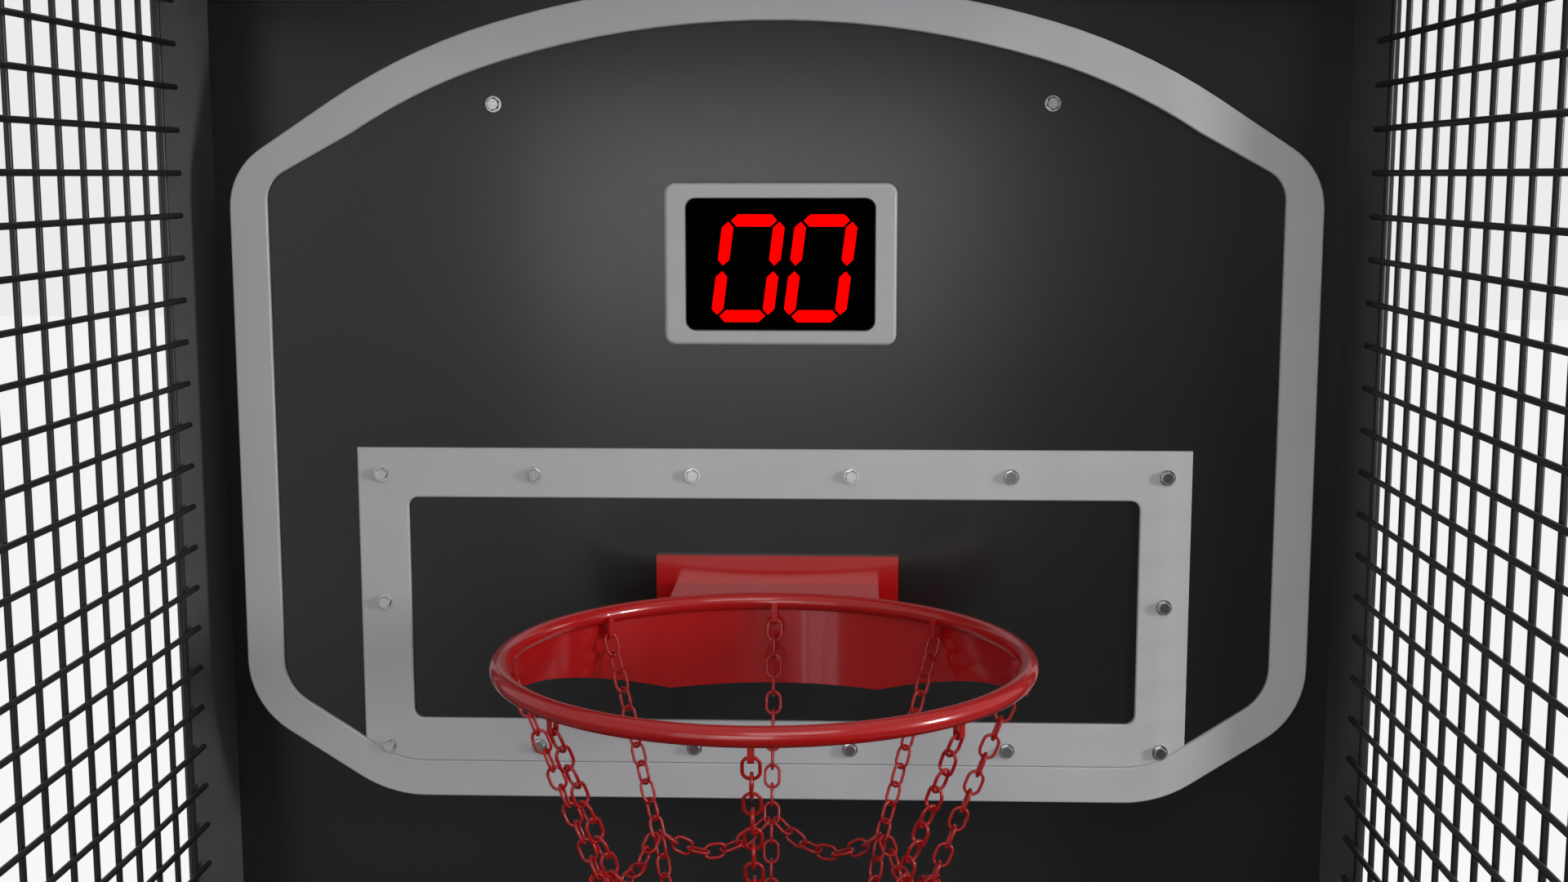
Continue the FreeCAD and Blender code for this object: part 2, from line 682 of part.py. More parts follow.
def strand(model, angle, upper, lower):
    """One strand: eleven links down to a joint link, then eight more, the last a joint link too."""
    outward = Vector(math.cos(angle), math.sin(angle), 0)
    centre = hoop_centre()
    reach = reach_of_link()
    seat = size("loopDrop") - size("strapThick") - 3.5
    hung = centre + outward * (size("rimRadius") - loop_inset(angle)) - Vector(0, 0, seat)
    joint = centre + outward * size("jointRadius") - Vector(0, 0, size("jointDrop"))
    along = (joint - hung).normalize()
    pitch = ((joint - hung).Length - reach) / 10
    upper += placed_links(model, strand_route(hung + along * reach, along, 11, pitch), 1, outward)
    lean = math.radians(size("strandLean"))
    down = Vector(-outward.x * math.sin(lean), -outward.y * math.sin(lean), -math.cos(lean))
    pitch = size("chainPitch")
    first = joint + along * reach + down * (pitch - reach)
    lower += placed_links(model, strand_route(first, down, 8, pitch), 0, outward)
    return (joint, along), (first + down * (7 * pitch), down)


def hook_point(middle, down, sideways):
    """Where a swag's end link hooks round the lower bend of a joint link."""
    bend = (size("linkWide") - size("chainWire")) / 2
    straight = (size("linkLong") - size("linkWide")) / 2
    turn = math.radians(size("hookTurn"))
    return middle + down * (straight + bend * math.cos(turn)) + sideways * (bend * math.sin(turn))


def chain_net():
    """Eight strands that lean inwards, joined by two rings of hanging swags."""
    model = link()
    upper, lower, joints = [], [], []
    angles = [math.radians(45 * i + 90) for i in range(8)]
    for angle in angles:
        joints.append(strand(model, angle, upper, lower))
    for i, angle in enumerate(angles):
        middle = angle + math.radians(22.5)
        across = Vector(math.cos(middle), math.sin(middle), 0)
        for level, count in ((0, 7), (1, 5)):
            ends = []
            for j, way in ((i, 1), ((i + 1) % 8, -1)):
                sideways = Vector(-math.sin(angles[j]), math.cos(angles[j]), 0) * way
                ends.append(hook_point(*joints[j][level], sideways))
            lower += placed_links(model, swag_route(*ends, count), 0, across)
    solids("net_upper", upper)
    solids("net_lower", lower)


# ---------------------------------------------------------------- ball gate

def ball_gate():
    shaft = rod("gate_shaft", ("-panelInner + 9", "gateY", "gateZ"), (1, 0, 0), "gateShaft",
                "2 * panelInner - 18")
    foot = rod("gate_foot", ("-560", "gateY", "gateZ - 262"), (1, 0, 0), "7", "1120")
    bars = [rod(f"gate_bar_{i}", (str(-553 + 1106 / 10 * i), "gateY", "gateZ - 262"), (0, 0, 1), "5", "262")
            for i in range(11)]
    keep(fuse("ball_gate", [shaft, foot] + bars), "ball_gate")


def gate_mounts():
    block = box("bearing_block", ("-panelInner", "gateY - 25", "gateZ - 25"), ("22", "50", "50"))
    bore = rod("bearing_bore", ("-panelInner + 4", "gateY", "gateZ"), (1, 0, 0), "gateShaft + running", "30")
    keep(cut("gate_bearing", block, [bore]), "gate_bearing")
    case = box("motor_case", ("panelInner - 22", "gateY - 25", "gateZ - 25"), ("22", "50", "50"))
    can = rod("motor_can", ("panelInner - 14", "gateY + 25", "gateZ"), (0, 1, 0), "13", "70")
    whole = fuse("motor_whole", [case, can])
    seat = rod("motor_bore", ("panelInner - 34", "gateY", "gateZ"), (1, 0, 0), "gateShaft + running", "30")
    keep(cut("gate_motor", whole, [seat]), "gate_motor")


# ---------------------------------------------------------------- front fittings

def slope_frame():
    """The console's sloping face: a point at its middle and its outward normal."""
    low = Vector(0, -size("machineHalf"), 800)
    high = Vector(0, size("frontFace") - 6, 866)
    along = (high - low).normalize()
    return (low + high) / 2, Vector(0, -along.z, along.y)


def control_console():
    front, back = -size("machineHalf"), size("frontFace")
    outer = [(front, 720), (front, 800), (back - 6, 866), (back - 6, 860), (back, 860), (back, 690)]
    body = pad_body("console_blank", "YZ_Plane", [polygon(outer)], "440", "-220")
    inner = [(front + 3, 722), (front + 3, 797), (back - 12, 857), (back + 1, 857), (back + 1, 694)]
    space = pad_body("console_space", "YZ_Plane", [polygon(inner)], "434", "-217")
    middle, normal = slope_frame()
    foot = middle - normal * 20
    bores = [rod(f"{name}_bore", (x, foot.y, foot.z), tuple(normal), f"{radius} + gap", "40")
             for name, x, radius in (("start", 0, 24), ("select", 110, 15))]
    keep(cut("control_console", body, [space] + bores), "control_console")


def push_button(label, x, radius):
    """A domed button cap standing out of the console's sloping face."""
    middle, normal = slope_frame()
    foot = Vector(x, middle.y, middle.z) - normal * 14
    stem = rod(f"{label}_stem", tuple(foot), tuple(normal), str(radius), "20")
    cap = doc.addObject("Part::Cone", f"{label}_cap")
    bind(cap, "Radius1", str(radius))
    bind(cap, "Radius2", f"{radius} - 3")
    bind(cap, "Height", "3")
    cap.Placement = Placement(foot + normal * 20, Rotation(Vector(0, 0, 1), normal))
    keep(fuse(label, [stem, cap]), label)


def coin_door():
    leaf = box("door_leaf", ("-doorHalf", "frontFace", "doorLow"),
               ("2 * doorHalf", "5", "doorTop - doorLow"))
    bezel = box("coin_bezel", ("30", "frontFace - 12", "doorTop - 120"), ("70", "12", "90"))
    knuckle = rod("door_knuckle", ("-doorHalf + 4", "frontFace - 3", "doorLow + 4"), (0, 0, 1), "4",
                  "doorTop - doorLow - 8")
    cup = box("return_cup", ("30", "frontFace - 4", "doorLow + 30"), ("70", "64", "66"))
    whole = fuse("door_whole", [leaf, bezel, knuckle, cup])
    slot = box("coin_slot", ("50", "frontFace - 13", "doorTop - 78"), ("3.4", "20", "32"))
    mouth = box("return_mouth", ("35", "frontFace - 5", "doorLow + 35"), ("60", "60", "56"))
    bore = rod("return_bore", ("80", "frontFace - 20", "doorTop - 62"), (0, 1, 0), "9 + gap", "40")
    keep(cut("coin_door", whole, [slot, mouth, bore]), "coin_door")
    pin = rod("return_pin", ("80", "frontFace - 17", "doorTop - 62"), (0, 1, 0), "9", "22")
    keep(pin, "coin_return")
    lock = rod("door_lock_barrel", ("-70", "frontFace - 7", "doorLow + 137"), (0, 1, 0), "11", "7")
    key = box("door_lock_way", ("-71", "frontFace - 8", "doorLow + 132"), ("2", "4", "10"))
    keep(cut("door_lock", lock, [key]), "door_lock")


def cash_drawer():
    face = box("drawer_face", ("-doorHalf", "frontFace", "drawerLow"),
               ("2 * doorHalf", "panelThick", "drawerTop - drawerLow"))
    crate = box("drawer_crate", ("-doorHalf + 7", "frontFace + panelThick", "drawerLow + 2"),
                ("2 * doorHalf - 14", "280", "90"))
    hollow = box("drawer_hollow", ("-doorHalf + 11", "frontFace + panelThick + 4", "drawerLow + 6"),
                 ("2 * doorHalf - 22", "272", "100"))
    grip = box("drawer_grip", ("-50", "frontFace - 22", "drawerTop - 46"), ("100", "22", "14"))
    finger = box("drawer_finger", ("-44", "frontFace - 16", "drawerTop - 47"), ("88", "16", "11"))
    whole = fuse("drawer_whole", [face, crate, grip])
    keep(cut("cash_drawer", whole, [hollow, finger]), "cash_drawer")
    keep(box("drawer_shelf", ("-doorHalf - 13", "frontFace + panelThick", "drawerLow + 2 - gap - 15"),
             ("2 * doorHalf + 26", "300", "15")), "drawer_shelf")


# ---------------------------------------------------------------- rear fittings

def service_door():
    leaf = box("service_leaf", ("-panelInner + 5", "rearFace - panelThick", "sideTop - 90"),
               ("2 * panelInner - 10", "panelThick", "roofUnder - sideTop + 85"))
    handle = box("service_handle", ("480", "rearFace", "1700"), ("34", "machineHalf - rearFace", "150"))
    dip = box("service_dip", ("479", "rearFace", "1712"), ("36", "14", "126"))
    levels = [str(1150 + 600 * i) for i in range(3)]
    barrels = [rod(f"service_barrel_{i}", ("-panelInner + 3", "rearFace + 4.5", level), (0, 0, 1), "4", "90")
               for i, level in enumerate(levels)]
    flaps = [box(f"service_flap_{i}", ("-panelInner + 3", "rearFace", level), ("32", "2", "90"))
             for i, level in enumerate(levels)]
    whole = fuse("service_whole", [leaf, handle] + barrels + flaps)
    keep(cut("service_door", whole, [dip]), "service_door")


def electronics():
    """Boxes behind the rear wall, the sensor inside the bracket's arm, and the mains inlet with its switch."""
    back = "wallFace + panelThick"
    supply = box("power_supply", ("-420", back, "1200"), ("200", "48", "120"))
    controller = box("controller_box", ("-120", back, "1200"), ("260", "40", "180"))
    speaker = box("speaker_box", ("220", back, "1200"), ("160", "70", "160"))
    joined = doc.addObject("Part::Compound", "electronics")
    joined.Links = [supply, controller, speaker]
    keep(joined, "electronics")
    keep(box("score_sensor", ("hoopX - 32", "boardFront + raised - 42", "rimHeight - 82"),
             ("64", "34", "40")), "score_sensor")
    body = box("inlet_body", ("380.5", "rearFace - 40", "240.5"), ("59", "40", "49"))
    flange = box("inlet_flange", ("376", "rearFace", "236"), ("68", "2.5", "58"))
    whole = fuse("inlet_whole", [body, flange])
    socket = box("inlet_socket", ("386", "rearFace - 16", "253"), ("24", "20", "24"))
    seat = box("rocker_seat", ("416", "rearFace - 14", "249"), ("18", "18", "32"))
    pivot = ("414", "rearFace - 1", "265")
    bore = rod("rocker_bore", pivot, (1, 0, 0), "2 + running", "22")
    keep(cut("power_inlet", whole, [socket, seat, bore]), "power_inlet")
    rocker = box("rocker_block", ("416.6", "rearFace - 6", "250.5"), ("16.8", "10", "29"))
    pin = rod("rocker_pin", ("414.4", "rearFace - 1", "265"), (1, 0, 0), "2", "21.2")
    keep(fuse("power_rocker", [rocker, pin]), "power_rocker")


# ---------------------------------------------------------------- casters

def caster(end, side, x, y):
    """A swivel fork with its kingpin and axle, and the wheel that turns on it."""
    name = f"{end}_{side}"
    axle_y = f"{y} + casterTrail"
    cap = rod(f"cap_{name}", (x, y, "baseTop - panelThick - gap - 8"), (0, 0, 1), "34", "8")
    king = rod(f"king_{name}", (x, y, "baseTop - panelThick - 9"), (0, 0, 1), "8", "24")
    axle = rod(f"axle_{name}", (f"{x} - 21", axle_y, "wheelRadius"), (1, 0, 0), "6", "42")
    legs = []
    for i, low in enumerate((f"{x} - 21", f"{x} + 17")):
        top = "baseTop - panelThick - gap - 4"
        legs.append(box(f"leg_{name}_{i}", (low, f"{axle_y} - 15", "wheelRadius - 14"),
                        ("4", "30", f"{top} - wheelRadius + 14")))
    keep(fuse(f"caster_fork_{name}", [cap, king, axle] + legs), f"caster_fork_{name}")
    body = doc.addObject("PartDesign::Body", f"caster_wheel_{name}")
    half, outer, bore = size("wheelWide") / 2, size("wheelRadius"), 6 + size("running")
    profile = [(bore, -half), (20, -half), (22, -half + 5), (37, -half + 5), (39, -half), (outer - 4, -half),
               (outer, -half + 5), (outer, half - 5), (outer - 4, half), (39, half), (37, half - 5),
               (22, half - 5), (20, half), (bore, half)]
    sketch = sketch_on(body, "XZ_Plane", [polygon([(z, r) for r, z in profile])])
    turn = body.newObject("PartDesign::Revolution", f"turn_{name}")
    turn.Profile = sketch
    turn.ReferenceAxis = (sketch, ["H_Axis"])
    turn.Angle = 360
    for axis, rule in zip("xyz", (x, axle_y, "wheelRadius")):
        bind(body, f"Placement.Base.{axis}", rule)
    keep(body, f"caster_wheel_{name}")


def casters():
    for end, y in (("front", "casterFront"), ("rear", "casterRear")):
        for side, x in (("left", "-casterX"), ("right", "casterX")):
            caster(end, side, x, y)


def build():
    cabinet_boards()
    base_board()
    front_panel()
    tray_and_ramp()
    rear_panels()
    cage_tubes()
    side_mesh("left", -1)
    side_mesh("right", 1)
    top_mesh()
    marquee()
    backboard()
    target_frame()
    board_bolts()
    board_standoffs()
    display()
    digits()
    hoop_bracket()
    rim()
    apron()
    chain_net()
    ball_gate()
    gate_mounts()
    control_console()
    push_button("start_button", 0, 24)
    push_button("select_button", 110, 15)
    coin_door()
    cash_drawer()
    service_door()
    electronics()
    casters()
    doc.recompute()


def check():
    for thing in doc.Objects:
        if {"Invalid", "Error"} & set(thing.State):
            raise RuntimeError(f"{thing.Label} failed: {thing.State}")
    for label, thing in parts.items():
        if thing.Shape.isNull() or not thing.Shape.isValid():
            raise RuntimeError(f"{label} has no valid shape")


def export():
    os.makedirs("parts", exist_ok=True)
    for label, thing in parts.items():
        thing.Shape.exportStep(f"parts/{label}.step")
    print(len(parts), "pieces")


build()
check()
export()
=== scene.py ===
import json
import math
import random

import bmesh
import bpy
from mathutils import Matrix, Vector


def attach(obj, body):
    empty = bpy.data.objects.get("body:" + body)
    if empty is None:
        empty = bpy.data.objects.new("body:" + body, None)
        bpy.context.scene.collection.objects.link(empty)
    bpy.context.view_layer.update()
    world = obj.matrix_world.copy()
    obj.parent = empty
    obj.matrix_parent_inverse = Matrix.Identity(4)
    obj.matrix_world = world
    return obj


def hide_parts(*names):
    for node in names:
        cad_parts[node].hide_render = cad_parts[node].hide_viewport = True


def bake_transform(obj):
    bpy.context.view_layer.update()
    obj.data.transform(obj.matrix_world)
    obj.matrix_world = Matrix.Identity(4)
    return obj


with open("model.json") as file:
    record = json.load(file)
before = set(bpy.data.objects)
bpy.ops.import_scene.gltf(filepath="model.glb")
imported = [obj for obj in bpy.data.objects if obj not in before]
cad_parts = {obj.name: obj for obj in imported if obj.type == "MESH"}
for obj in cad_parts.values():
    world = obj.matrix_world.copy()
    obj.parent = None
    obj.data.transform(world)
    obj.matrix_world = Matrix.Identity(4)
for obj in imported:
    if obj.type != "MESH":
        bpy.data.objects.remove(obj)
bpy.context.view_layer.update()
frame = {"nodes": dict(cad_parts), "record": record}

scene = bpy.context.scene

cameraSettings = {"place": (0.0808, -0.9818, 2.328), "pitch": 81.989, "turn": 2.019, "lens": 43.32,
                  "sensor": 36, "nearest": 0.02}
chain = {"wire": 0.0015, "long": 0.025, "wide": 0.017, "pitch": 0.0185, "swagPitch": 0.0174,
         "strands": 8, "upperLinks": 11, "lowerLinks": 8, "swagLinks": 7, "lowSwagLinks": 5,
         "jointRadius": 0.1545, "jointDrop": 0.1964, "lean": 12.5, "seatDrop": 0.0169,
         "rearInset": 0.009, "frontInset": 0.002, "hookTurn": 65, "hookSlack": 0.0006,
         "looseTwist": 1.2, "sides": 8, "bendSteps": 8, "upperSeed": 11, "lowerSeed": 12}
hoop = {"centre": (0.0055, 0.6575, 1.9), "radius": 0.2344}
surface = {"noiseRoughness": 0.55, "mottleScale": 6.0, "glossScale": 140, "glossShare": 0.3,
           "dustColour": (0.42, 0.41, 0.39, 1), "dustScale": 18, "scratchScale": 7.0, "scratchWidth": 0.006,
           "scratchPatch": 2.3, "bumpDepth": 0.002, "coatRoughness": 0.08}
lit = {"strength": 1.04, "cellScale": 260, "dimmest": 0.97, "roughness": 0.5}


# shared shader groups

def newGroup(name, inputs, outputs):
    group = bpy.data.node_groups.new(name, "ShaderNodeTree")
    for label, kind, default in inputs:
        socket = group.interface.new_socket(label, in_out="INPUT", socket_type=kind)
        socket.default_value = default
    for label, kind in outputs:
        group.interface.new_socket(label, in_out="OUTPUT", socket_type=kind)
    enter = group.nodes.new("NodeGroupInput")
    leave = group.nodes.new("NodeGroupOutput")
    return group, enter, leave


def node(tree, kind, **values):
    made = tree.nodes.new(kind)
    for key, value in values.items():
        setattr(made, key, value)
    return made


def noiseNode(tree, scale, detail):
    coords = node(tree, "ShaderNodeTexCoord")
    noise = node(tree, "ShaderNodeTexNoise")
    noise.inputs["Detail"].default_value = detail
    noise.inputs["Roughness"].default_value = surface["noiseRoughness"]
    tree.links.new(coords.outputs["Object"], noise.inputs["Vector"])
    if isinstance(scale, (int, float)):
        noise.inputs["Scale"].default_value = scale
    else:
        tree.links.new(scale, noise.inputs["Scale"])
    return noise


def mapRange(tree, value, low, high, outLow, outHigh):
    remap = node(tree, "ShaderNodeMapRange")
    remap.inputs["From Min"].default_value = low
    remap.inputs["From Max"].default_value = high
    for socket, given in ((remap.inputs["To Min"], outLow), (remap.inputs["To Max"], outHigh)):
        if isinstance(given, (int, float)):
            socket.default_value = given
        else:
            tree.links.new(given, socket)
    tree.links.new(value, remap.inputs["Value"])
    return remap.outputs["Result"]


def mixColour(tree, factor, first, second):
    mix = node(tree, "ShaderNodeMix", data_type="RGBA")
    tree.links.new(factor, mix.inputs["Factor"])
    for socket, given in ((mix.inputs["A"], first), (mix.inputs["B"], second)):
        if isinstance(given, tuple):
            socket.default_value = given
        else:
            tree.links.new(given, socket)
    return mix.outputs["Result"]


def mathNode(tree, operation, first, second):
    made = node(tree, "ShaderNodeMath", operation=operation)
    for socket, given in zip(made.inputs, (first, second)):
        if isinstance(given, (int, float)):
            socket.default_value = given
        else:
            tree.links.new(given, socket)
    return made.outputs["Value"]


def buildMottle():
    # slow change of tone and gloss over a painted or moulded surface
    group, enter, leave = newGroup("mottle", [
        ("Colour", "NodeSocketColor", (0.5, 0.5, 0.5, 1)), ("Amount", "NodeSocketFloat", 0.08),
        ("Scale", "NodeSocketFloat", 6.0), ("Roughness", "NodeSocketFloat", 0.35),
        ("Spread", "NodeSocketFloat", 0.08)], [
        ("Colour", "NodeSocketColor"), ("Roughness", "NodeSocketFloat")])
    slow = noiseNode(group, enter.outputs["Scale"], 5)
    fine = noiseNode(group, surface["glossScale"], 3)
    low = mathNode(group, "SUBTRACT", 1.0, enter.outputs["Amount"])
    high = mathNode(group, "ADD", 1.0, enter.outputs["Amount"])
    tone = mapRange(group, slow.outputs["Fac"], 0.3, 0.7, low, high)
    scaled = node(group, "ShaderNodeVectorMath", operation="SCALE")
    group.links.new(enter.outputs["Colour"], scaled.inputs[0])
    group.links.new(tone, scaled.inputs["Scale"])
    group.links.new(scaled.outputs["Vector"], leave.inputs["Colour"])
    share = surface["glossShare"]
    mixed = mathNode(group, "ADD", mathNode(group, "MULTIPLY", slow.outputs["Fac"], 1 - share),
                     mathNode(group, "MULTIPLY", fine.outputs["Fac"], share))
    centred = mathNode(group, "SUBTRACT", mixed, 0.5)
    span = mathNode(group, "MULTIPLY", enter.outputs["Spread"], 2.0)
    offset = mathNode(group, "MULTIPLY", centred, span)
    group.links.new(mathNode(group, "ADD", enter.outputs["Roughness"], offset), leave.inputs["Roughness"])
    return group


def buildDust():
    # pale dust that lies on faces turned upwards
    group, enter, leave = newGroup("dustFilm", [
        ("Colour", "NodeSocketColor", (0.5, 0.5, 0.5, 1)), ("Roughness", "NodeSocketFloat", 0.4),
        ("Amount", "NodeSocketFloat", 0.15)], [
        ("Colour", "NodeSocketColor"), ("Roughness", "NodeSocketFloat")])
    geometry = node(group, "ShaderNodeNewGeometry")
    split = node(group, "ShaderNodeSeparateXYZ")
    group.links.new(geometry.outputs["Normal"], split.inputs["Vector"])
    upward = mapRange(group, split.outputs["Z"], 0.4, 1.0, 0.0, 1.0)
    patches = noiseNode(group, surface["dustScale"], 6)
    cover = mapRange(group, patches.outputs["Fac"], 0.35, 0.75, 0.25, 1.0)
    mask = mathNode(group, "MULTIPLY", mathNode(group, "MULTIPLY", upward, cover), enter.outputs["Amount"])
    colour = mixColour(group, mask, enter.outputs["Colour"], surface["dustColour"])
    group.links.new(colour, leave.inputs["Colour"])
    group.links.new(mathNode(group, "ADD", enter.outputs["Roughness"], mask), leave.inputs["Roughness"])
    return group


def buildGrain():
    # fine relief: orange peel in paint, or the tooth of a moulding
    group, enter, leave = newGroup("fineRelief", [
        ("Scale", "NodeSocketFloat", 300.0), ("Coarse", "NodeSocketFloat", 40.0),
        ("Mix", "NodeSocketFloat", 0.5)], [("Height", "NodeSocketFloat")])
    fine = noiseNode(group, enter.outputs["Scale"], 4)
    coarse = noiseNode(group, enter.outputs["Coarse"], 3)
    keep = mathNode(group, "SUBTRACT", 1.0, enter.outputs["Mix"])
    height = mathNode(group, "ADD", mathNode(group, "MULTIPLY", fine.outputs["Fac"], enter.outputs["Mix"]),
                      mathNode(group, "MULTIPLY", coarse.outputs["Fac"], keep))
    group.links.new(height, leave.inputs["Height"])
    return group


def buildScuff():
    # thin scratches and rub marks, as a mask
    group, enter, leave = newGroup("scuffMarks", [
        ("Scale", "NodeSocketFloat", surface["scratchScale"]), ("Amount", "NodeSocketFloat", 0.2)], [
        ("Mask", "NodeSocketFloat")])
    coords = node(group, "ShaderNodeTexCoord")
    bend = noiseNode(group, 3.0, 2)
    shifted = node(group, "ShaderNodeVectorMath", operation="ADD")
    group.links.new(coords.outputs["Object"], shifted.inputs[0])
    group.links.new(bend.outputs["Color"], shifted.inputs[1])
    lines = node(group, "ShaderNodeTexVoronoi", feature="DISTANCE_TO_EDGE")
    group.links.new(enter.outputs["Scale"], lines.inputs["Scale"])
    group.links.new(shifted.outputs["Vector"], lines.inputs["Vector"])
    thin = mapRange(group, lines.outputs["Distance"], 0.0, surface["scratchWidth"], 1.0, 0.0)
    patches = noiseNode(group, surface["scratchPatch"], 3)
    where = mapRange(group, patches.outputs["Fac"], 0.52, 0.66, 0.0, 1.0)
    mask = mathNode(group, "MULTIPLY", mathNode(group, "MULTIPLY", thin, where), enter.outputs["Amount"])
    group.links.new(mask, leave.inputs["Mask"])
    return group


def buildInnerPaintedLight():
    # marks faces turned towards the machine's centre plane, where a lighter grey is painted on the rear side
    # sheets as painted light
    group, enter, leave = newGroup("innerFaces", [], [("Mask", "NodeSocketFloat")])
    geometry = node(group, "ShaderNodeNewGeometry")
    place = node(group, "ShaderNodeSeparateXYZ")
    facing = node(group, "ShaderNodeSeparateXYZ")
    group.links.new(geometry.outputs["Position"], place.inputs["Vector"])
    group.links.new(geometry.outputs["True Normal"], facing.inputs["Vector"])
    product = mathNode(group, "MULTIPLY", place.outputs["X"], facing.outputs["X"])
    group.links.new(mapRange(group, product, 0.0, -0.4, 0.0, 1.0), leave.inputs["Mask"])
    return group


groups = {"mottle": buildMottle(), "dust": buildDust(), "relief": buildGrain(), "scuff": buildScuff(),
          "inner": buildInnerPaintedLight()}
print("shader groups built")


# materials

